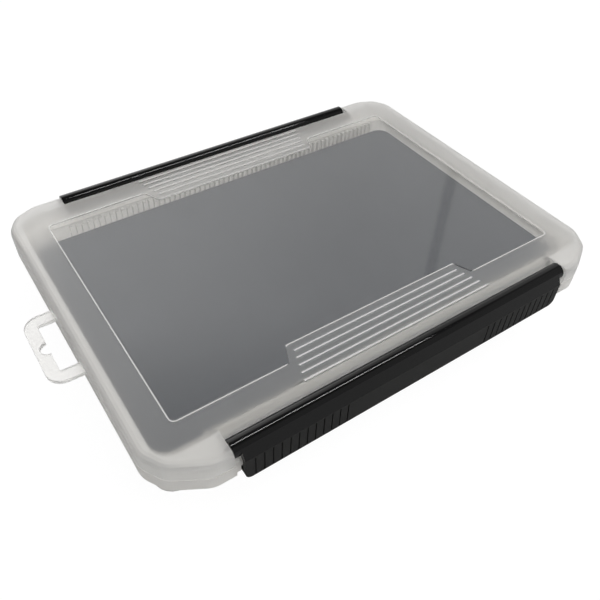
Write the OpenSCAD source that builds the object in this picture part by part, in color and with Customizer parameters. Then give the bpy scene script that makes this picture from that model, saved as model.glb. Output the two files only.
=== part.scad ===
// Flat storage case with a hinged lid, held shut by two long latch bars.
// Frame: millimetres, +X along the length, +Y to the rear bar, +Z up.
// Origin: centre of the face that the tray stands on.

/* [Case] */
// Length of the closed case along X, without the hanging tab
case_l = 255; // [235:1:320]
// Width of the closed case along Y, without the latch bars
case_w = 190; // [175:1:240]
// Height from the resting face to the flat top of the lid
case_h = 39.6; // [38:0.1:60]
// Length of the rear long edge that each clipped corner takes away
corner_cut_x = 16.5; // [15:0.5:20]
// Length of a short edge that each clipped rear corner takes away
corner_cut_y = 14.5; // [13.5:0.5:18]
// How far the middle of a clipped rear corner lies inside the end of the case
corner_mid_x = 5; // [4.5:0.5:6]
// How far the middle of a clipped rear corner lies inside the long edge
corner_mid_y = 5; // [4.5:0.5:6]
// How far the front corners stand out past the pocket that the front latch closes over
front_out = 3; // [1:0.1:3.4]
// Length of the front long edge that each clipped corner takes away
front_cut_x = 22; // [20:0.5:26]
// Length of a short edge that each clipped front corner takes away
front_cut_y = 19.5; // [18:0.5:23]
// How far the middle of a clipped front corner lies inside the end of the case
front_mid_x = 6; // [5:0.5:8]
// How far the middle of a clipped front corner lies inside the front corners' face
front_mid_y = 9; // [7:0.5:10]
// Radius that rounds the bends of a clipped corner
corner_r = 12; // [6:0.5:12.5]
// Height of the lid's side, from its top to the parting line
lid_depth = 9; // [8.8:0.1:12]
// Running gap between the lid's rim and the tray's flange
parting_gap = 0.6; // [0.4:0.05:1]
// Wall thickness of the lid and of the tray's flange
shell_t = 1.6; // [1.2:0.1:1.8]

/* [Lid] */
// Radius of the rounded upper edge of the lid
lid_edge_r = 3.5; // [1:0.1:3.6]
// Distance from the end of the case to the polished window
border_x = 17.3; // [8:0.1:30]
// Distance from the long edge of the case to the polished window
border_y = 22.1; // [18:0.1:25]
// Radius of the window's corners
window_r = 3; // [1.5:0.5:4]
// How far the window's edge slants where it steps round the thumb ridges
notch_slant = 4; // [2:0.5:8]
// Width of the bead round the window
bead_w = 1.1; // [0.8:0.1:1.6]
// Height of the bead above the lid
bead_rise = 0.3; // [0.2:0.05:0.4]
// Radius of the round rail beside each latch bar
rail_r = 3.2; // [2.4:0.1:3.6]
// How far the outermost thumb ridge lies inside the middle of the rail
ridge_inset = 1.4; // [1.2:0.1:3]
// Number of thumb ridges beside each latch bar
ridge_count = 5; // [3:1:5]
// Distance between neighbouring thumb ridges
ridge_pitch = 4; // [3.4:0.1:4.2]
// Width of one thumb ridge
ridge_w = 2; // [1.4:0.1:2.4]
// Height of a thumb ridge above the lid
ridge_rise = 0.4; // [0.3:0.05:0.6]
// Length of the longest ridge, the one beside the bar
ridge_l = 108; // [90:1:130]
// How much shorter each ridge is than the one outside it
ridge_step = 2.7; // [1:0.1:4]

/* [Latch bars] */
// Distance from the end of the case to the end of a barrel
bar_inset = 32; // [31:0.5:44]
// Clearance between each end of a barrel and the lid
bar_end_gap = 0.4; // [0.3:0.05:0.8]
// Radius of the barrel
bar_r = 4.2; // [3.8:0.05:4.4]
// How far the hinge axis lies inside the case's long edge
axis_inset = 2.1; // [1.9:0.05:2.4]
// Clearance between the barrel and the lid round it
bar_gap = 0.5; // [0.4:0.05:0.7]
// Radius of the hinge stubs at the barrel's ends
stub_r = 1.4; // [1.1:0.05:1.45]
// Radial clearance of a hinge stub in the lid
stub_fit = 0.05; // [0.02:0.01:0.1]
// How far a hinge stub stands out of the barrel
stub_l = 2.3; // [2.1:0.1:3.5]
// Clearance between the flap and the lugs beside it
flap_gap = 0.6; // [0.4:0.05:1.5]
// How far the flap's outer face stands outside the case's long edge
flap_out = 4.3; // [3.8:0.1:5]
// Thickness of the flap
flap_t = 2; // [1.6:0.1:2.4]
// Depth from the lid's top to the upper edge of the flap's grip band
grip_drop = 7.1; // [6.6:0.1:7.8]
// Height of the grip band
grip_h = 13.5; // [12.5:0.1:14.5]
// Radius of the flap's lower corners
flap_corner_r = 3.5; // [1.5:0.1:4.5]
// Distance from the end of the flap to the first grip groove
groove_inset = 4.6; // [3:0.1:8]
// Plain height above and below the grip grooves
groove_margin = 0.8; // [0.5:0.1:2]
// Distance between neighbouring grip grooves
groove_pitch = 4.18; // [3.4:0.02:4.4]
// Number of grip grooves near each end of the flap
groove_count = 12; // [6:1:13]
// Width of one grip groove
groove_w = 0.7; // [0.5:0.1:1.2]
// Depth of the grip grooves
groove_d = 0.45; // [0.2:0.05:0.8]
// Height of the lip that catches under the flange
lip_h = 2; // [1.4:0.1:2.4]
// How far the lip reaches under the flange
lip_catch = 1.3; // [0.8:0.1:1.5]
// Clearance between the lip and the flange above it
lip_gap = 0.3; // [0.25:0.05:0.5]

/* [Tray] */
// Width of the flange at the ends of the tray
flange_x = 5.5; // [4.5:0.1:14]
// Width of the flange along the long sides of the tray
flange_y = 14.5; // [13.5:0.1:20]
// Radius of the tray's upright corners
tray_r = 10; // [6:0.5:14]
// Radius of the tray's rounded lower edge
tray_edge_r = 4; // [2:0.5:4.5]
// Wall thickness of the tray
tray_t = 1.5; // [1.2:0.1:1.8]
// Thickness of the tray's floor
floor_t = 1.6; // [1.2:0.1:2.4]
// Height of the flange round the tray
flange_h = 7; // [6:0.1:8]
// Distance between neighbouring divider slots
slot_pitch = 3.3; // [3:0.1:6]
// Width of one divider slot
slot_w = 1.7; // [1.2:0.1:2]
// Depth of the divider slots
slot_d = 2.4; // [1.5:0.1:2.6]
// How far the rows of divider slots lie to the right of the middle
slot_shift = 6.5; // [0:0.5:8]
// Distance from the tray's rim down to the upper end of the divider slots
slot_drop = 1; // [0.5:0.1:4]
// Width of the lugs on the flange beside each flap
lug_w = 2.7; // [2:0.1:2.8]
// How far the lugs stand out of the flange
lug_out = 1.8; // [1:0.1:2.5]
// Height of the lugs above the flange
lug_rise = 0.6; // [0.4:0.05:0.65]
// Clearance between each lug and the end of the lid's recess
lug_gap = 0.3; // [0.25:0.05:0.8]

/* [Foam] */
// Thickness of the foam insert
foam_t = 22.9; // [8:0.1:24]
// Clearance between the foam and the tray's sides
foam_gap = 0.3; // [0.2:0.05:1]

/* [Hanging tab] */
// How far the tab stands out of the case's end
tab_out = 15; // [13.5:0.5:20]
// Width of the tab
tab_w = 44; // [40:1:60]
// Thickness of the tab
tab_t = 2; // [1.4:0.1:3]
// Radius of the tab's outer corners
tab_r = 8; // [3:0.5:9]
// Width of the hanging slot
tab_slot_w = 31.2; // [20:0.2:33]
// Length of the hanging slot outwards from the case
tab_slot_l = 8.8; // [6:0.2:9]
// Radius of the round notch in the slot
tab_notch_r = 3.8; // [2:0.1:4]

/* [Hidden] */

// Segments of a bend in an outline, of a rounded edge and of a true circle
arc_n = 6;
edge_n = 4;
fine = 48;
// Overshoot of cuts past a face, and overlap of shapes fused in one piece
cut = 1;
weld = 0.2;
// Thickness of the slices that a rounded edge is wrapped round
slice = 0.02;

half_l = case_l / 2;
half_w = case_w / 2;
front_y = half_w + front_out;
tray_l = case_l - 2 * flange_x;
tray_w = case_w - 2 * flange_y;
clear_frosted = [0.86, 0.87, 0.86, 0.55];
tray_frosted = [0.82, 0.82, 0.80, 0.6];
foam_grey = [0.27, 0.28, 0.29];
bar_black = [0.09, 0.09, 0.09];

// Heights
flange_z = case_h - lid_depth;
flange_low = flange_z - flange_h;
rim_z = flange_z + parting_gap;
lid_under = case_h - shell_t;
axis_y = half_w - axis_inset;
axis_z = case_h + ridge_rise - bar_r;

// The recess in the lid that takes a bar
recess_y = axis_y - bar_r - bar_gap;
bar_half = half_l - bar_inset;
recess_half = bar_half + bar_end_gap;
rail_y = recess_y - rail_r;
rail_z = case_h - rail_r;

// Thumb ridges, outermost first
function ridge_y(i) = rail_y - ridge_inset - i * ridge_pitch;
function ridge_half(i) = (ridge_l - i * ridge_step) / 2;

// The window, and the step in its long edges round the ridges
window_x = half_l - border_x;
window_y = half_w - border_y;
notch_y = ridge_y(ridge_count - 1) - ridge_pitch;
notch_x = ridge_half(ridge_count - 1) + ridge_w;

// Lugs, and the flap between them
lug_x = recess_half - lug_gap - lug_w;
flap_half = lug_x - flap_gap;
flap_face = half_w + flap_out;
flap_back = flap_face - flap_t;
grip_top = case_h - grip_drop;
flap_low = grip_top - grip_h;
lip_z = flange_low - lip_gap;
lip_y = half_w - lip_catch;
pocket_half = lug_x + lug_w - weld;

// Foam
foam_l = tray_l - 2 * (tray_t + foam_gap);
foam_w = tray_w - 2 * (tray_t + slot_d + foam_gap);

function unit(v) = v / norm(v);
// Normal of the edge from a to b that points into a counter-clockwise outline
function inward(a, b) = let (e = unit(b - a)) [-e[1], e[0]];
function wrap(p, i) = p[(i + len(p)) % len(p)];

// Moves every edge of an outline inwards by d
function inset(p, d) = [
    for (i = [0 : len(p) - 1])
        let (n = inward(wrap(p, i - 1), p[i]), m = inward(p[i], wrap(p, i + 1)))
            p[i] + (n + m) * d / (1 + n * m)
];

// Arc that rounds the corner at b, between its neighbours a and c
function bend(a, b, c, r) =
    let (
        u = unit(a - b),
        w = unit(c - b),
        half = acos(u * w) / 2,
        mid = b + unit(u + w) * r / sin(half),
        from = b + u * r / tan(half) - mid,
        to = b + w * r / tan(half) - mid,
        start = atan2(from[1], from[0]),
        turn = (atan2(to[1], to[0]) - start + 540) % 360 - 180
    )
    [for (k = [0 : arc_n]) mid + r * [cos(start + turn * k / arc_n), sin(start + turn * k / arc_n)]];

// True where a counter-clockwise outline bends to the left at b
function bulges(a, b, c) = inward(a, b) * (c - b) > 0;

// A counter-clockwise outline moved inwards by d, with bends of radius r before the move
function rounded(p, r, d = 0) =
    let (moved = inset(p, d))
    [
        for (i = [0 : len(p) - 1])
            let (a = wrap(moved, i - 1), c = wrap(moved, i + 1))
                each bend(a, moved[i], c, bulges(a, moved[i], c) ? r - d : r + d)
    ];

// Repeats the points of the right-hand rear quarter at the left, counter-clockwise
function two_ways(q) = concat(q, [for (i = [len(q) - 1 : -1 : 0]) [-q[i][0], q[i][1]]]);
// An outline from the right-hand rear quarter and, turned half round, the front one
function ring(rear, front) = concat(two_ways(rear), [for (v = two_ways(front)) -v]);
function four_ways(q) = ring(q, q);

case_corners = ring(
    [
        [half_l, half_w - corner_cut_y],
        [half_l - corner_mid_x, half_w - corner_mid_y],
        [half_l - corner_cut_x, half_w]
    ],
    [
        [half_l, front_y - front_cut_y],
        [half_l - front_mid_x, front_y - front_mid_y],
        [half_l - front_cut_x, front_y]
    ]
);
window_corners = four_ways([
    [window_x, window_y],
    [notch_x + notch_slant, window_y],
    [notch_x, notch_y]
]);
function box_corners(l, w) = four_ways([[l / 2, w / 2]]);

// The outlines of the case and of the tray, drawn in by d
module case_outline(d = 0) {
    polygon(rounded(case_corners, corner_r, d));
}

// The case's outline with the pockets behind the flaps taken out
module flange_outline(d = 0) {
    difference() {
        case_outline(d);
        for (s = [-1, 1])
            translate([-pocket_half - d, s * (half_w - d + front_y) - front_y])
                square([2 * (pocket_half + d), 2 * front_y]);
    }
}

module tray_outline(d = 0) {
    polygon(rounded(box_corners(tray_l, tray_w), tray_r, d));
}

module at_both_sides() {
    children();
    mirror([0, 1, 0]) children();
}

module at_both_ends() {
    children();
    mirror([1, 0, 0]) children();
}

// A box along X, centred on it, from (y0, z0) to (y1, z1)
module beam(half, y0, z0, y1, z1) {
    translate([-half, y0, z0])
        cube([2 * half, y1 - y0, z1 - z0]);
}

// A round rod along X between two places
module rod(r, x0, x1) {
    translate([x0, 0, 0])
        rotate([0, 90, 0])
            cylinder(r = r, h = x1 - x0, $fn = fine);
}

// ---- Lid ----

// The lid's outside, with its upper edge rounded
module lid_block() {
    translate([0, 0, rim_z])
        linear_extrude(case_h - lid_edge_r - rim_z)
            case_outline();
    hull()
        for (k = [0 : edge_n])
            let (a = 90 * k / edge_n)
                translate([0, 0, case_h - lid_edge_r * (1 - sin(a)) - slice])
                    linear_extrude(slice)
                        case_outline(lid_edge_r * (1 - cos(a)));
}

// The space that a bar turns in, with the corner above the rail taken off
module bar_recess() {
    beam(recess_half, recess_y, rim_z - cut, front_y + cut, case_h + cut);
    beam(recess_half, rail_y, rail_z, recess_y + weld, case_h + cut);
}

// The wall that the lid keeps round each recess
module recess_wall() {
    beam(recess_half + shell_t, recess_y - shell_t, rim_z - 2 * cut, front_y + cut, case_h);
}

module lid_hollow() {
    difference() {
        translate([0, 0, rim_z - cut])
            linear_extrude(lid_under - rim_z + cut)
                case_outline(shell_t);
        at_both_sides() recess_wall();
    }
}

module window_bead() {
    translate([0, 0, case_h - weld])
        linear_extrude(weld + bead_rise)
            difference() {
                polygon(rounded(window_corners, window_r));
                polygon(rounded(window_corners, window_r, bead_w));
            }
}

// Height of the centre of a ridge's round top, which sinks into the lid
ridge_round = (ridge_w * ridge_w / 4 + ridge_rise * ridge_rise) / (2 * ridge_rise);

module thumb_ridges() {
    for (i = [0 : ridge_count - 1])
        translate([0, ridge_y(i), case_h])
            intersection() {
                translate([0, 0, ridge_rise - ridge_round])
                    rod(ridge_round, -ridge_half(i), ridge_half(i));
                beam(ridge_half(i), -ridge_w, -weld, ridge_w, 2 * ridge_rise);
            }
}

module lid() {
    color(clear_frosted)
        difference() {
            union() {
                difference() {
                    lid_block();
                    lid_hollow();
                    at_both_sides() bar_recess();
                }
                at_both_sides() {
                    translate([0, rail_y, rail_z])
                        rod(rail_r, -recess_half - weld, recess_half + weld);
                    thumb_ridges();
                }
                window_bead();
            }
            at_both_sides()
                at_both_ends()
                    translate([0, axis_y, axis_z])
                        rod(stub_r + stub_fit, recess_half - weld, recess_half + shell_t + cut);
        }
}

// ---- Latch bars ----

// Where the face above the grip band runs off the barrel
face_v = [flap_face - axis_y, grip_top - axis_z];
face_angle = atan2(face_v[1], face_v[0]) + acos(bar_r / norm(face_v));
face_start = [axis_y, axis_z] + bar_r * [cos(face_angle), sin(face_angle)];

// The flap as seen from the end of the bar
module flap_side() {
    polygon([
        face_start,
        [axis_y, axis_z],
        [flap_back, grip_top - flap_t],
        [flap_back, lip_z],
        [lip_y, lip_z],
        [lip_y, lip_z - lip_h],
        [flap_back, lip_z - lip_h],
        [flap_back, flap_low],
        [flap_face, flap_low],
        [flap_face, grip_top]
    ]);
}

// The flap as seen from the front, with round lower corners
module flap_front() {
    r = flap_corner_r;
    translate([-flap_half, flap_low + r])
        square([2 * flap_half, case_h - flap_low]);
    translate([r - flap_half, flap_low])
        square([2 * (flap_half - r), 2 * r]);
    for (s = [-1, 1])
        translate([s * (flap_half - r), flap_low + r])
            circle(r, $fn = fine);
}

module grip_grooves() {
    first = flap_half - groove_inset - groove_w / 2;
    for (i = [0 : groove_count - 1])
        translate([first - i * groove_pitch, flap_face - groove_d, flap_low + groove_margin])
            cube([groove_w, groove_d + cut, grip_h - 2 * groove_margin]);
}

module latch_bar() {
    color(bar_black) {
        difference() {
            union() {
                translate([0, axis_y, axis_z])
                    rod(bar_r, -bar_half, bar_half);
                intersection() {
                    translate([-flap_half, 0, 0])
                        rotate([90, 0, 90])
                            linear_extrude(2 * flap_half)
                                flap_side();
                    translate([0, flap_face + cut, 0])
                        rotate([90, 0, 0])
                            linear_extrude(flap_face)
                                flap_front();
                }
                at_both_ends()
                    translate([0, axis_y, axis_z])
                        rod(stub_r, bar_half - weld, bar_half + stub_l);
            }
            at_both_ends() grip_grooves();
        }
    }
}

module front_latch() {
    mirror([0, 1, 0]) latch_bar();
}

module rear_latch() {
    latch_bar();
}

// ---- Tray ----

// The tray's outside, with its lower edge rounded
module tray_block() {
    hull()
        for (k = [0 : edge_n])
            let (a = 90 * k / edge_n)
                translate([0, 0, tray_edge_r * (1 - sin(a))])
                    linear_extrude(slice)
                        tray_outline(tray_edge_r * (1 - cos(a)));
    translate([0, 0, tray_edge_r])
        linear_extrude(flange_z - tray_edge_r)
            tray_outline();
}

slot_count = floor((tray_l - 2 * (tray_r + slot_shift)) / slot_pitch);

// The ribs between the divider slots along one long wall
module slot_ribs() {
    rib = slot_pitch - slot_w;
    for (i = [0 : slot_count])
        translate([slot_shift + (i - slot_count / 2) * slot_pitch - rib / 2, 0, 0])
            translate([0, tray_w / 2 - tray_t - slot_d, floor_t - weld])
                cube([rib, slot_d + weld, flange_z - slot_drop - floor_t + weld]);
}

// Flat shelf round the tray with a skirt below it
module flange() {
    translate([0, 0, flange_low])
        linear_extrude(flange_h)
            difference() {
                flange_outline();
                flange_outline(shell_t);
            }
    translate([0, 0, flange_z - shell_t])
        linear_extrude(shell_t)
            difference() {
                flange_outline(shell_t - weld);
                tray_outline(tray_t / 2);
            }
}

// The lug beside one end of a flap, with a round top
module lug() {
    r = lug_w / 2;
    translate([lug_x, half_w - shell_t + weld, flange_low])
        cube([lug_w, shell_t + lug_out - weld, flange_h + lug_rise - r]);
    translate([lug_x + r, half_w + lug_out, flange_z + lug_rise - r])
        rotate([90, 0, 0])
            cylinder(r = r, h = shell_t + lug_out - weld, $fn = fine);
}

module base_tray() {
    color(tray_frosted) {
        difference() {
            tray_block();
            translate([0, 0, floor_t])
                linear_extrude(flange_z)
                    tray_outline(tray_t);
        }
        at_both_sides() slot_ribs();
        flange();
        at_both_sides()
            at_both_ends() lug();
    }
}

module hang_tab() {
    color(tray_frosted)
        translate([-half_l, 0, flange_z - tab_t])
            linear_extrude(tab_t)
                difference() {
                    polygon(concat(
                        [[0, -tab_w / 2], [0, tab_w / 2]],
                        bend([0, tab_w / 2], [-tab_out, tab_w / 2], [-tab_out, 0], tab_r),
                        bend([-tab_out, 0], [-tab_out, -tab_w / 2], [0, -tab_w / 2], tab_r)
                    ));
                    translate([-tab_slot_l, -tab_slot_w / 2])
                        square([tab_slot_l + cut, tab_slot_w]);
                    translate([-tab_slot_l, 0])
                        circle(tab_notch_r, $fn = fine);
                }
}

// ---- Foam ----

module foam_insert() {
    color(foam_grey)
        translate([0, 0, floor_t])
            linear_extrude(foam_t)
                polygon(rounded(box_corners(foam_l, foam_w), tray_r - tray_t - foam_gap));
}

base_tray();
hang_tab();
foam_insert();
lid();
front_latch();
rear_latch();
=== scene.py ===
"""Blender scene of a flat tackle box with a foam insert, a windowed lid and two latch bars.

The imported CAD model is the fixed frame: lengths are in metres, except for names that end in
_mm, and every place is in that frame, with Z up, the long side along X and the front latch bar
at negative Y.
"""

import logging
import math
from dataclasses import dataclass
from enum import Enum
from typing import NamedTuple, Optional

import bmesh
import bpy
from mathutils import Matrix, Vector


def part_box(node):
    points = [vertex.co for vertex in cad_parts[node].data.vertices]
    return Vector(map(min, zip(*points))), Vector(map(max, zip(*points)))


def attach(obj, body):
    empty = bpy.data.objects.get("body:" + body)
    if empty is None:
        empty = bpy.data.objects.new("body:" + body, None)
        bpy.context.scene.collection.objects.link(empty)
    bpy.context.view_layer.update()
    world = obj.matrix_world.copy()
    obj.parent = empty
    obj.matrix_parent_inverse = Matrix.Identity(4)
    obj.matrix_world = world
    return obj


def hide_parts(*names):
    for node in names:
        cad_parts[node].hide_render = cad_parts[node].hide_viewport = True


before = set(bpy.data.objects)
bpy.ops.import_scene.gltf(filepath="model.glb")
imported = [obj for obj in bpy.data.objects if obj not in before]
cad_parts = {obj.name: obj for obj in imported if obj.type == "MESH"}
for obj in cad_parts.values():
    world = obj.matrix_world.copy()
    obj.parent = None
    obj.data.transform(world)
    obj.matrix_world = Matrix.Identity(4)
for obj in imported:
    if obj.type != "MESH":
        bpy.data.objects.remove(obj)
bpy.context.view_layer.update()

log = logging.getLogger("tackle_box")

MM = 0.001
BEVEL_SAMPLES = 4

Socket = bpy.types.NodeSocket


class Moulding(Enum):
    """CAD nodes that keep their own meshes."""

    LID = "lid"
    TRAY = "base_tray"
    TAB = "hang_tab"
    FRONT_BAR = "front_latch"
    REAR_BAR = "rear_latch"


BARS = (Moulding.FRONT_BAR, Moulding.REAR_BAR)


def linear(colour: str) -> tuple[float, float, float, float]:
    """Turns an sRGB hex colour into a linear one, by the standard's own curve.

    Args:
        colour: Six hex digits with a leading hash.

    Returns:
        Linear red, green and blue, and an alpha of 1.
    """
    shares = (int(colour[i : i + 2], 16) / 255 for i in (1, 3, 5))
    r, g, b = (c / 12.92 if c <= 0.04045 else ((c + 0.055) / 1.055) ** 2.4 for c in shares)
    return r, g, b, 1.0


class NodeTree:
    """A material or world node tree under construction."""

    def __init__(self, tree: bpy.types.NodeTree) -> None:
        """Empties the tree.

        Args:
            tree: The tree to build in.
        """
        self.tree = tree
        tree.nodes.clear()

    def add(
        self,
        kind: str,
        sockets: Optional[dict[int | str, object]] = None,
        **settings: object,
    ) -> bpy.types.Node:
        """Adds a node with its settings and links.

        Args:
            kind: The node's type name.
            sockets: Input by index or name, each a value or an output socket to link from.
            settings: Properties of the node itself.

        Returns:
            The new node.
        """
        node = self.tree.nodes.new(kind)
        for name, value in settings.items():
            setattr(node, name, value)
        for key, value in (sockets or {}).items():
            if isinstance(value, Socket):
                self.tree.links.new(value, node.inputs[key])
            else:
                node.inputs[key].default_value = value
        return node


def new_material(name: str) -> tuple[bpy.types.Material, NodeTree]:
    """Makes an empty node material.

    Args:
        name: The material's name.

    Returns:
        The material and its tree.
    """
    material = bpy.data.materials.new(name)
    material.use_nodes = True
    return material, NodeTree(material.node_tree)


def dress(piece: bpy.types.Object, material: bpy.types.Material) -> None:
    """Gives a piece one material in place of those it has.

    Args:
        piece: The object to dress.
        material: What it is dressed in.
    """
    piece.data.materials.clear()
    piece.data.materials.append(material)


# ---- Zones of the lid -----------------------------------------------------------------------


@dataclass(frozen=True)
class RoundedArea:
    """A rounded rectangle about the middle of the lid, seen from above."""

    half_x: float
    half_y: float
    radius: float

    def mask(self, t: NodeTree, size: Socket) -> Socket:
        """Adds the nodes that find the area.

        Args:
            t: The tree to add to.
            size: Absolute values of the object coordinates.

        Returns:
            A socket that is 1 inside the area and 0 outside it.
        """
        # A metre is past any height on the case, so the height doesn't count.
        core = (self.half_x - self.radius, self.half_y - self.radius, 1.0)
        past = t.add("ShaderNodeVectorMath", {0: size, 1: core}, operation="SUBTRACT")
        out = t.add(
            "ShaderNodeVectorMath", {0: past.outputs[0], 1: (0, 0, 0)}, operation="MAXIMUM"
        )
        reach = t.add("ShaderNodeVectorMath", {0: out.outputs[0]}, operation="LENGTH")
        return t.add(
            "ShaderNodeMath", {0: reach.outputs["Value"], 1: self.radius}, operation="LESS_THAN"
        ).outputs[0]


@dataclass(frozen=True)
class WindowArea(RoundedArea):
    """The polished part of the lid, which steps in beside the thumb ridges."""

    half_x: float = 109.6 * MM
    half_y: float = 72.3 * MM
    radius: float = 2.4 * MM
    # The step: half its length, its distance from the middle, how far each of its ends leans
    # out, and the width of the bead along it.
    notch_x: float = 50.0 * MM
    notch_y: float = 63.0 * MM
    slant: float = 4 * MM
    bead: float = 1.2 * MM

    def masks(self, t: NodeTree, size: Socket) -> tuple[Socket, Socket]:
        """Adds the nodes that find the window and the fields of thumb ridges beside it.

        Args:
            t: The tree to add to.
            size: Absolute values of the object coordinates.

        Returns:
            A socket that is 1 inside the window, and one that is 1 among the ridges.
        """
        box = self.mask(t, size)
        x, y, _ = t.add("ShaderNodeSeparateXYZ", {0: size}).outputs
        past = t.add("ShaderNodeMath", {0: y, 1: self.notch_y}, operation="SUBTRACT").outputs[0]
        lean = self.slant / (self.half_y - self.notch_y)
        edge = t.add(
            "ShaderNodeMath", {0: past, 1: lean, 2: self.notch_x}, operation="MULTIPLY_ADD"
        ).outputs[0]
        beside = t.add("ShaderNodeMath", {0: x, 1: edge}, operation="GREATER_THAN").outputs[0]
        short = t.add("ShaderNodeMath", {0: past, 1: 0.0}, operation="LESS_THAN").outputs[0]
        clear = t.add("ShaderNodeMath", {0: beside, 1: short}, operation="MAXIMUM").outputs[0]
        window = t.add("ShaderNodeMath", {0: box, 1: clear}, operation="MULTIPLY").outputs[0]
        inner = t.add("ShaderNodeMath", {0: edge, 1: self.bead}, operation="SUBTRACT").outputs[0]
        within = t.add("ShaderNodeMath", {0: x, 1: inner}, operation="LESS_THAN").outputs[0]
        far = t.add("ShaderNodeMath", {0: past, 1: self.bead}, operation="GREATER_THAN").outputs[0]
        ridges = t.add("ShaderNodeMath", {0: within, 1: far}, operation="MULTIPLY").outputs[0]
        return window, ridges


class Skin(NamedTuple):
    """How one zone of the lid takes the light: blur, share that passes, and depth of grain."""

    roughness: float
    clear: float
    grain: float


# ---- Finishes -------------------------------------------------------------------------------


@dataclass(frozen=True)
class NaturalPolypropylene:
    """Injection-moulded polypropylene without pigment.

    Most light passes, in a slightly warm white, so lamps shine through it onto what it holds.
    Its moulded edges are never quite sharp, so each carries a thin highlight.
    """

    name: str
    tint: str
    light_through: str = "#f4f4f3"
    ior: float = 1.49
    # The grain of blasted steel is near 0.1 mm, too fine to show, so it is drawn coarser.
    grain_mm: float = 0.5
    grain_depth_mm: float = 0.001
    edge_mm: float = 0.35

    def grain(self, t: NodeTree, place: Socket, share: Optional[Socket] = None) -> Socket:
        """Adds the nodes of the grain and of the rounded edges.

        Args:
            t: The tree to add to.
            place: The object coordinates.
            share: How much of the grain's depth shows, or None where all of it does.

        Returns:
            The surface's normal.
        """
        height = t.add(
            "ShaderNodeTexNoise",
            {"Vector": place, "Scale": 1 / (self.grain_mm * MM), "Detail": 2.0},
        ).outputs[0]
        if share is not None:
            shown = t.add("ShaderNodeMath", {0: height, 1: share}, operation="MULTIPLY")
            height = shown.outputs[0]
        edge = t.add("ShaderNodeBevel", {"Radius": self.edge_mm * MM}, samples=BEVEL_SAMPLES)
        bump = t.add(
            "ShaderNodeBump",
            {
                "Distance": self.grain_depth_mm * MM,
                "Height": height,
                "Normal": edge.outputs[0],
            },
        )
        return bump.outputs[0]

    def shade(self, t: NodeTree, rough: Socket, clear: Socket | float, normal: Socket) -> None:
        """Adds the shader, which lamps shine straight through, and the output.

        Args:
            t: The tree to add to.
            rough: Roughness.
            clear: Share of the light that passes.
            normal: The surface's normal.
        """
        shell = t.add(
            "ShaderNodeBsdfPrincipled",
            {
                "Base Color": linear(self.tint),
                "Transmission Weight": clear,
                "Roughness": rough,
                "IOR": self.ior,
                "Normal": normal,
            },
        )
        ray = t.add("ShaderNodeLightPath")
        passing = t.add(
            "ShaderNodeMath",
            {0: ray.outputs["Is Shadow Ray"], 1: ray.outputs["Is Diffuse Ray"]},
            operation="MAXIMUM",
        )
        lit = t.add("ShaderNodeBsdfTransparent", {0: linear(self.light_through)})
        mix = t.add(
            "ShaderNodeMixShader", {0: passing.outputs[0], 1: shell.outputs[0], 2: lit.outputs[0]}
        )
        t.add("ShaderNodeOutputMaterial", {0: mix.outputs[0]})


@dataclass(frozen=True)
class FrostedPolypropylene(NaturalPolypropylene):
    """The plastic as moulded against blasted steel.

    It looks milky: a part of the light is scattered back as a white veil, and the rough face
    blurs what lies behind it.
    """

    veil: float = 0.4
    roughness: float = 0.5
    # The melt's flow leaves clouds that are a little more or less rough.
    cloud_mm: float = 25.0
    cloud_share: float = 0.15

    def build(self) -> bpy.types.Material:
        """Builds the material.

        Returns:
            The node material.
        """
        material, t = new_material(self.name)
        place = t.add("ShaderNodeTexCoord").outputs["Object"]
        cloud = t.add(
            "ShaderNodeTexNoise",
            {"Vector": place, "Scale": 1 / (self.cloud_mm * MM), "Detail": 3.0},
        )
        rough = t.add(
            "ShaderNodeMapRange",
            {
                "Value": cloud.outputs[0],
                "To Min": self.roughness * (1 - self.cloud_share),
                "To Max": self.roughness * (1 + self.cloud_share),
            },
        )
        self.shade(t, rough.outputs[0], 1 - self.veil, self.grain(t, place))
        return material


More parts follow.
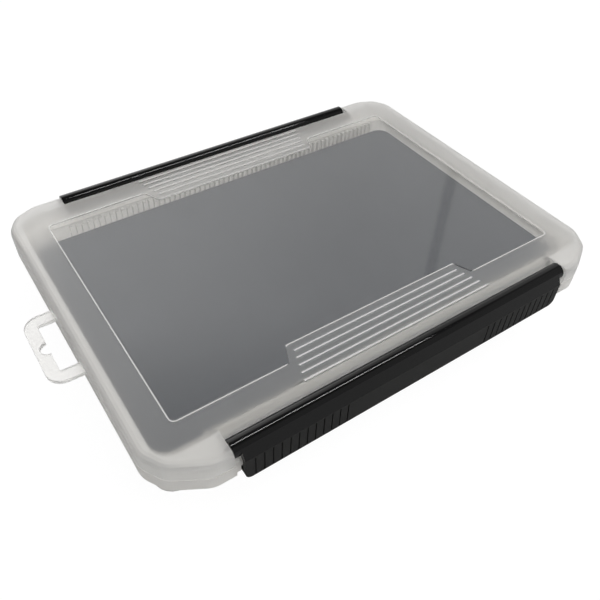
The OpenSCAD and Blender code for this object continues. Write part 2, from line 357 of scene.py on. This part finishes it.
@dataclass(frozen=True)
class WindowedPolypropylene(NaturalPolypropylene):
    """The plastic as moulded against blasted steel with a polished window in it.

    The window is mirror-bright, so the foam shows through unblurred. The border round it is
    frosted, and its rear part blurs more than its front. The walls are seen edge-on through
    more plastic and look milkier, and the round rails beside the bars are the roughest. The
    bead and the crests of the thumb ridges are turned milky white as a painted highlight.
    """

    window: WindowArea = WindowArea()
    window_skin: Skin = Skin(0.0, 0.99, 0.0)
    border: RoundedArea = RoundedArea(121.6 * MM, 85.8 * MM, 9 * MM)
    front_skin: Skin = Skin(0.28, 0.94, 1.0)
    rear_skin: Skin = Skin(0.34, 0.965, 1.0)
    wall_skin: Skin = Skin(0.32, 0.73, 1.0)
    rail: RoundedArea = RoundedArea(95.5 * MM, 95.0 * MM, 1 * MM)
    rail_skin: Skin = Skin(0.48, 0.93, 1.0)
    # Painted highlight: the bead and the ridges' crests let little light through and show a white
    # veil, standing in for the light their edges catch.
    painted_highlight_skin: Skin = Skin(0.2, 0.25, 0.0)
    # Both faces of the lid's plate, and the heights from which the bead and the ridges' crests
    # get the painted highlight.
    under_z: float = 38.0 * MM
    top_z: float = 39.6 * MM
    bead_z: float = 39.66 * MM
    crest_z: float = 39.945 * MM
    # The middle share of the plate's thickness that counts as its edge, and how far below its
    # underside a point still counts as on it.
    edge_share: float = 0.95
    slack: float = 0.05 * MM

    def build(self) -> bpy.types.Material:
        """Builds the material.

        Returns:
            The node material.
        """
        material, t = new_material(self.name)
        place = t.add("ShaderNodeTexCoord").outputs["Object"]
        size = t.add("ShaderNodeVectorMath", {0: place}, operation="ABSOLUTE").outputs[0]
        _, y, height = t.add("ShaderNodeSeparateXYZ", {0: place}).outputs
        window, ridges = self.window.masks(t, size)
        rearward = t.add(
            "ShaderNodeMapRange",
            {"Value": y, "From Min": -self.border.half_y / 2, "From Max": self.border.half_y},
        )
        border = t.add(
            "ShaderNodeMix",
            {0: rearward.outputs[0], 4: self.front_skin, 5: self.rear_skin},
            data_type="VECTOR",
        )
        # Each zone covers those before it.
        skin = self.wall_skin
        for mask, zone in (
            (self.rail.mask(t, size), self.rail_skin),
            (self.top(t, size, height), border.outputs[1]),
            # The painted highlight along the bead and the ridges' crests.
            (self.raised(t, ridges, height), self.painted_highlight_skin),
            (window, self.window_skin),
        ):
            mix = t.add("ShaderNodeMix", {0: mask, 4: skin, 5: zone}, data_type="VECTOR")
            skin = mix.outputs[1]
        rough, clear, relief = t.add("ShaderNodeSeparateXYZ", {0: skin}).outputs
        self.shade(t, rough, clear, self.grain(t, place, relief))
        return material

    def top(self, t: NodeTree, size: Socket, height: Socket) -> Socket:
        """Adds the nodes that find both faces of the plate within the border.

        Args:
            t: The tree to add to.
            size: Absolute values of the object coordinates.
            height: The object's Z coordinate.

        Returns:
            A socket that is 1 on the plate's faces and 0 on its edges and below it.
        """
        middle, half = (self.top_z + self.under_z) / 2, (self.top_z - self.under_z) / 2
        edge = half * self.edge_share
        edges = t.add("ShaderNodeMath", {0: height, 1: middle, 2: edge}, operation="COMPARE")
        lowest = self.under_z - self.slack
        plate = t.add("ShaderNodeMath", {0: height, 1: lowest}, operation="GREATER_THAN")
        faces = t.add(
            "ShaderNodeMath", {0: plate.outputs[0], 1: edges.outputs[0]}, operation="SUBTRACT"
        ).outputs[0]
        bordered = self.border.mask(t, size)
        return t.add("ShaderNodeMath", {0: faces, 1: bordered}, operation="MULTIPLY").outputs[0]

    def raised(self, t: NodeTree, ridges: Socket, height: Socket) -> Socket:
        """Adds the nodes that find the bead and the crests of the thumb ridges.

        Args:
            t: The tree to add to.
            ridges: A socket that is 1 among the ridges.
            height: The object's Z coordinate.

        Returns:
            A socket that is 1 on the raised lines.
        """
        # These raised lines get the painted highlight.
        start = t.add(
            "ShaderNodeMix", {0: ridges, 2: self.bead_z, 3: self.crest_z}, data_type="FLOAT"
        ).outputs[0]
        return t.add(
            "ShaderNodeMath", {0: height, 1: start}, operation="GREATER_THAN"
        ).outputs[0]


@dataclass(frozen=True)
class BlackPolypropylene:
    """Black polypropylene, polished on the barrel and spark-eroded on the grip band.

    The barrel is deep black with one crisp highlight, and the band is an even dull black.
    """

    name: str = "black_polypropylene"
    colour: str = "#0f0f0f"
    matt_colour: str = "#131312"
    gloss: float = 0.07
    matt: float = 0.55
    ior: float = 1.49
    specular: float = 0.3
    grip_top: float = 32.5 * MM
    # Eroded steel leaves pits near 0.15 mm, too fine to show here, so they are drawn coarser.
    grain_mm: float = 0.45
    grain_depth_mm: float = 0.05
    grain_strength: float = 0.6
    edge_mm: float = 0.25

    def build(self) -> bpy.types.Material:
        """Builds the material.

        Returns:
            The node material.
        """
        material, t = new_material(self.name)
        place = t.add("ShaderNodeTexCoord").outputs["Object"]
        height = t.add("ShaderNodeSeparateXYZ", {0: place}).outputs[2]
        band = t.add(
            "ShaderNodeMath", {0: height, 1: self.grip_top}, operation="LESS_THAN"
        ).outputs[0]
        grain = t.add(
            "ShaderNodeTexNoise",
            {"Vector": place, "Scale": 1 / (self.grain_mm * MM), "Detail": 3.0},
        )
        rough = t.add("ShaderNodeMix", {0: band, 2: self.gloss, 3: self.matt}, data_type="FLOAT")
        colour = t.add(
            "ShaderNodeMix",
            {0: band, 6: linear(self.colour), 7: linear(self.matt_colour)},
            data_type="RGBA",
        )
        relief = t.add("ShaderNodeMath", {0: grain.outputs[0], 1: band}, operation="MULTIPLY")
        edge = t.add("ShaderNodeBevel", {"Radius": self.edge_mm * MM}, samples=BEVEL_SAMPLES)
        bump = t.add(
            "ShaderNodeBump",
            {
                "Strength": self.grain_strength,
                "Distance": self.grain_depth_mm * MM,
                "Height": relief.outputs[0],
                "Normal": edge.outputs[0],
            },
        )
        shell = t.add(
            "ShaderNodeBsdfPrincipled",
            {
                "Base Color": colour.outputs[2],
                "Roughness": rough.outputs[0],
                "IOR": self.ior,
                "Specular IOR Level": self.specular,
                "Normal": bump.outputs[0],
            },
        )
        t.add("ShaderNodeOutputMaterial", {0: shell.outputs[0]})
        return material


@dataclass(frozen=True)
class ClosedCellFoam:
    """Cross-linked polyethylene foam, sliced from a block.

    The knife opens the cells, so the grey is quite dull, with a fine even tooth and faint paler
    clouds where the block is less dense.
    """

    name: str = "cross_linked_polyethylene_foam"
    colour: str = "#565a61"
    pale: str = "#60646b"
    roughness: float = 0.85
    # Real cells are near 0.3 mm, too fine to show here, so they are drawn coarser.
    cell_mm: float = 0.7
    cell_depth_mm: float = 0.1
    cell_strength: float = 0.12
    cloud_mm: float = 18.0

    def build(self) -> bpy.types.Material:
        """Builds the material.

        Returns:
            The node material.
        """
        material, t = new_material(self.name)
        place = t.add("ShaderNodeTexCoord").outputs["Object"]
        cells = t.add("ShaderNodeTexVoronoi", {"Vector": place, "Scale": 1 / (self.cell_mm * MM)})
        cloud = t.add(
            "ShaderNodeTexNoise",
            {"Vector": place, "Scale": 1 / (self.cloud_mm * MM), "Detail": 4.0},
        )
        colour = t.add(
            "ShaderNodeMix",
            {0: cloud.outputs[0], 6: linear(self.colour), 7: linear(self.pale)},
            data_type="RGBA",
        )
        bump = t.add(
            "ShaderNodeBump",
            {
                "Strength": self.cell_strength,
                "Distance": self.cell_depth_mm * MM,
                "Height": cells.outputs[0],
            },
        )
        shell = t.add(
            "ShaderNodeBsdfPrincipled",
            {
                "Base Color": colour.outputs[2],
                "Roughness": self.roughness,
                "Normal": bump.outputs[0],
            },
        )
        t.add("ShaderNodeOutputMaterial", {0: shell.outputs[0]})
        return material


# ---- Pieces ---------------------------------------------------------------------------------


@dataclass
class FoamInsert:
    """The foam block that fills the floor of the tray, with its edges slightly rounded."""

    name: str = "foam_block"
    corner: float = 8 * MM
    corner_steps: int = 10
    edge: float = 0.8 * MM
    edge_steps: int = 5
    finish: ClosedCellFoam = ClosedCellFoam()

    def build(self) -> bpy.types.Object:
        """Returns:
            The finished piece.
        """
        piece = bpy.data.objects.new(self.name, self.block())
        bpy.context.scene.collection.objects.link(piece)
        dress(piece, self.finish.build())
        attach(piece, "base")
        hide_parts("foam_insert")
        return piece

    def block(self) -> bpy.types.Mesh:
        """Builds the block's mesh as rings from its floor up, closed at both ends.

        Returns:
            The mesh, with smooth sides and flat ends.
        """
        low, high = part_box("foam_insert")
        turns = [math.pi / 2 * k / self.edge_steps for k in range(self.edge_steps + 1)]
        rings = [
            (self.edge * (1 - math.sin(a)), low.z + self.edge * (1 - math.cos(a))) for a in turns
        ]
        rings += [
            (self.edge * (1 - math.cos(a)), high.z - self.edge * (1 - math.sin(a))) for a in turns
        ]
        bm = bmesh.new()
        loops = [
            [bm.verts.new((x, y, z)) for x, y in self.outline(high.x, high.y, inset)]
            for inset, z in rings
        ]
        for under, over in zip(loops, loops[1:]):
            for quad in zip(under, under[1:] + under[:1], over[1:] + over[:1], over):
                bm.faces.new(quad)
        bm.faces.new(loops[0][::-1])
        bm.faces.new(loops[-1])
        mesh = bpy.data.meshes.new(self.name)
        bm.to_mesh(mesh)
        bm.free()
        for polygon in mesh.polygons:
            polygon.use_smooth = len(polygon.vertices) == 4
        return mesh

    def outline(self, half_x: float, half_y: float, inset: float) -> list[tuple[float, float]]:
        """Finds the block's outline at one height.

        Args:
            half_x: Half the length.
            half_y: Half the width.
            inset: How far the outline is drawn in.

        Returns:
            Points counter-clockwise from the rear right corner.
        """
        points = []
        radius = self.corner - inset
        for side_x, side_y, start in ((1, 1, 0), (-1, 1, 90), (-1, -1, 180), (1, -1, 270)):
            x, y = side_x * (half_x - self.corner), side_y * (half_y - self.corner)
            for k in range(self.corner_steps + 1):
                a = math.radians(start + 90 * k / self.corner_steps)
                points.append((x + radius * math.cos(a), y + radius * math.sin(a)))
        return points


@dataclass
class Mouldings:
    """The moulded pieces, which keep their CAD meshes and get their finishes here."""

    lid: WindowedPolypropylene = WindowedPolypropylene("natural_polypropylene_lid", "#f2f1ef")
    tray: FrostedPolypropylene = FrostedPolypropylene("natural_polypropylene_tray", "#f2f0ed")
    tab: FrostedPolypropylene = FrostedPolypropylene(
        "natural_polypropylene_tab", "#fffefc", veil=0.2, roughness=0.4
    )
    bars: BlackPolypropylene = BlackPolypropylene()

    def build(self) -> list[bpy.types.Object]:
        """Dresses the lid, the tray, its tab and both latch bars.

        Returns:
            The dressed pieces.
        """
        pieces = []
        for finish, mouldings in (
            (self.lid, (Moulding.LID,)),
            (self.tray, (Moulding.TRAY,)),
            (self.tab, (Moulding.TAB,)),
            (self.bars, BARS),
        ):
            material = finish.build()
            for moulding in mouldings:
                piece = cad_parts[moulding.value]
                dress(piece, material)
                pieces.append(piece)
        return pieces


# ---- Studio ---------------------------------------------------------------------------------


class Lamp(NamedTuple):
    """A soft rectangular lamp: its middle and target, its two sides, and its power in watts."""

    name: str
    place: tuple[float, float, float]
    length: float
    width: float
    power: float
    target: tuple[float, float, float] = (0.0, 0.0, 0.02)
    bars_only: bool = False


class Ramp(NamedTuple):
    """A smooth change of the room's brightness along one measure of a ray's direction."""

    start: float
    end: float
    before: float
    after: float


@dataclass
class Studio:
    """White table, soft lamps and the camera of a catalogue shot."""

    # The camera's place in metres, its turns in degrees and its lens in millimetres.
    eye: tuple[float, float, float] = (-152.6 * MM, -215.3 * MM, 253.8 * MM)
    yaw: float = 35.696
    pitch: float = 45.301
    roll: float = 2.287
    lens: float = 38.44
    film_width: float = 36.0
    nearest: float = 0.01
    # The table looks white, and its grey laminate shows the shadow through that white.
    table_side: float = 6.0
    white: str = "#ffffff"
    laminate: str = "#cacaca"
    table_glow: float = 1.12
    shadow_share: float = 0.15
    # The room, which lights the case and is mirrored in its window: a wall behind the case
    # that darkens to the right, a dark upright strip on it, a dark ceiling, and little light
    # from the front and from the left. X over Y measures how far to the right a ray goes.
    wall: Ramp = Ramp(0.1, 0.95, 1.85, 0.75)
    ceiling: Ramp = Ramp(0.71, 0.83, 1.0, 0.15)
    upright_at: float = 1.23
    upright: Ramp = Ramp(0.01, 0.04, 0.2, 1.0)
    front: Ramp = Ramp(0.1, 0.35, 0.2, 1.0)
    left: Ramp = Ramp(-0.3, 0.1, 0.3, 1.0)
    lamps: tuple[Lamp, ...] = (
        Lamp("key", (0.25, -0.25, 1.2), 1.2, 1.0, 5.8),
        Lamp("strip", (0.35, -0.12, 1.0), 0.55, 0.03, 3.0, (0.35, 0.0, 0.02), bars_only=True),
        Lamp("left", (-2.2, -0.5, 1.3), 1.6, 1.6, 9.0),
        Lamp("right", (2.0, -0.8, 1.3), 1.6, 1.6, 19.0),
        Lamp("front", (-0.5, -2.2, 0.9), 1.4, 1.0, 9.0),
    )

    def build(self) -> None:
        """Builds table, room, lamps and camera."""
        self.lay_table()
        self.paint_room()
        for lamp in self.lamps:
            self.hang(lamp)
        self.place_camera()

    def lay_table(self) -> None:
        """Lays the white table, which keeps a faint shadow of the case."""
        s = self.table_side / 2
        mesh = bpy.data.meshes.new("table")
        mesh.from_pydata([(-s, -s, 0), (s, -s, 0), (s, s, 0), (-s, s, 0)], [], [(0, 1, 2, 3)])
        table = bpy.data.objects.new("table", mesh)
        bpy.context.scene.collection.objects.link(table)
        material, t = new_material("white_laminate_table")
        seen = t.add("ShaderNodeEmission", {0: linear(self.white), 1: self.table_glow})
        lit = t.add("ShaderNodeBsdfDiffuse", {0: linear(self.laminate)})
        shown = t.add(
            "ShaderNodeMixShader", {0: self.shadow_share, 1: seen.outputs[0], 2: lit.outputs[0]}
        )
        mix = t.add(
            "ShaderNodeMixShader", {0: self.direct(t), 1: lit.outputs[0], 2: shown.outputs[0]}
        )
        t.add("ShaderNodeOutputMaterial", {0: mix.outputs[0]})
        dress(table, material)

    def direct(self, t: NodeTree) -> Socket:
        """Adds the nodes that tell what the camera sees, straight or through the plastic.

        Args:
            t: The tree to add to.

        Returns:
            A socket that is 1 for such a ray and 0 for all others.
        """
        ray = t.add("ShaderNodeLightPath")
        return t.add(
            "ShaderNodeMath",
            {0: ray.outputs["Is Camera Ray"], 1: ray.outputs["Is Transmission Ray"]},
            operation="MAXIMUM",
        ).outputs[0]

    def paint_room(self) -> None:
        """Sets a white backdrop for the camera and a soft grey room for all other rays."""
        world = bpy.data.worlds.new("studio")
        bpy.context.scene.world = world
        world.use_nodes = True
        t = NodeTree(world.node_tree)
        way = t.add("ShaderNodeTexCoord").outputs["Generated"]
        x, y, z = t.add("ShaderNodeSeparateXYZ", {0: way}).outputs
        turn = t.add("ShaderNodeMath", {0: x, 1: y}, operation="DIVIDE").outputs[0]
        off = t.add(
            "ShaderNodeMath", {0: turn, 1: self.upright_at}, operation="SUBTRACT"
        ).outputs[0]
        beside = t.add("ShaderNodeMath", {0: off}, operation="ABSOLUTE").outputs[0]
        room = None
        for measure, ramp in (
            (turn, self.wall),
            (z, self.ceiling),
            (beside, self.upright),
            (y, self.front),
            (x, self.left),
        ):
            part = t.add(
                "ShaderNodeMapRange",
                {
                    "Value": measure,
                    "From Min": ramp.start,
                    "From Max": ramp.end,
                    "To Min": ramp.before,
                    "To Max": ramp.after,
                },
                interpolation_type="SMOOTHSTEP",
            ).outputs[0]
            if room is not None:
                both = t.add("ShaderNodeMath", {0: room, 1: part}, operation="MULTIPLY")
                part = both.outputs[0]
            room = part
        strength = t.add(
            "ShaderNodeMix", {0: self.direct(t), 2: room, 3: 1.0}, data_type="FLOAT"
        )
        back = t.add("ShaderNodeBackground", {0: linear(self.white), 1: strength.outputs[0]})
        t.add("ShaderNodeOutputWorld", {0: back.outputs[0]})

    def hang(self, lamp: Lamp) -> None:
        """Hangs one lamp.

        A broad lamp would show in the window as a hard patch, so none is mirrored in the case
        or seen through it. The lamp for the bars alone is mirrored, as one crisp line on them.

        Args:
            lamp: The lamp to hang.
        """
        data = bpy.data.lights.new(lamp.name, "AREA")
        data.shape = "RECTANGLE"
        data.size = lamp.length
        data.size_y = lamp.width
        data.energy = lamp.power
        hung = bpy.data.objects.new(lamp.name, data)
        hung.location = lamp.place
        aim = Vector(lamp.place) - Vector(lamp.target)
        hung.rotation_euler = aim.to_track_quat("Z", "Y").to_euler()
        hung.visible_glossy = lamp.bars_only
        hung.visible_transmission = False
        bpy.context.scene.collection.objects.link(hung)
        if lamp.bars_only:
            bars = bpy.data.collections.new("bars")
            for moulding in BARS:
                bars.objects.link(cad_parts[moulding.value])
            hung.light_linking.receiver_collection = bars

    def place_camera(self) -> None:
        """Places the camera at the photograph's angle."""
        yaw, pitch, roll = (math.radians(v) for v in (self.yaw, self.pitch, self.roll))
        level = math.cos(pitch)
        ahead = Vector((math.sin(yaw) * level, math.cos(yaw) * level, -math.sin(pitch)))
        across = Vector((math.cos(yaw), -math.sin(yaw), 0))
        over = across.cross(ahead)
        right = across * math.cos(roll) + over * math.sin(roll)
        up = over * math.cos(roll) - across * math.sin(roll)
        data = bpy.data.cameras.new("camera")
        data.lens = self.lens
        data.sensor_width = self.film_width
        data.clip_start = self.nearest
        camera = bpy.data.objects.new("camera", data)
        turn = Matrix((right, up, -ahead)).transposed()
        camera.matrix_world = Matrix.Translation(self.eye) @ turn.to_4x4()
        bpy.context.scene.collection.objects.link(camera)
        bpy.context.scene.camera = camera


def main() -> None:
    """Builds the studio and each piece."""
    logging.basicConfig(level=logging.INFO, format="%(name)s: %(message)s")
    bpy.context.scene.view_settings.view_transform = "Standard"
    Studio().build()
    log.info("studio is set")
    for piece in (FoamInsert().build(), *Mouldings().build()):
        faces, finish = len(piece.data.polygons), piece.data.materials[0].name
        log.info("%s has %d faces, dressed in %s", piece.name, faces, finish)


if __name__ == "__main__":
    main()
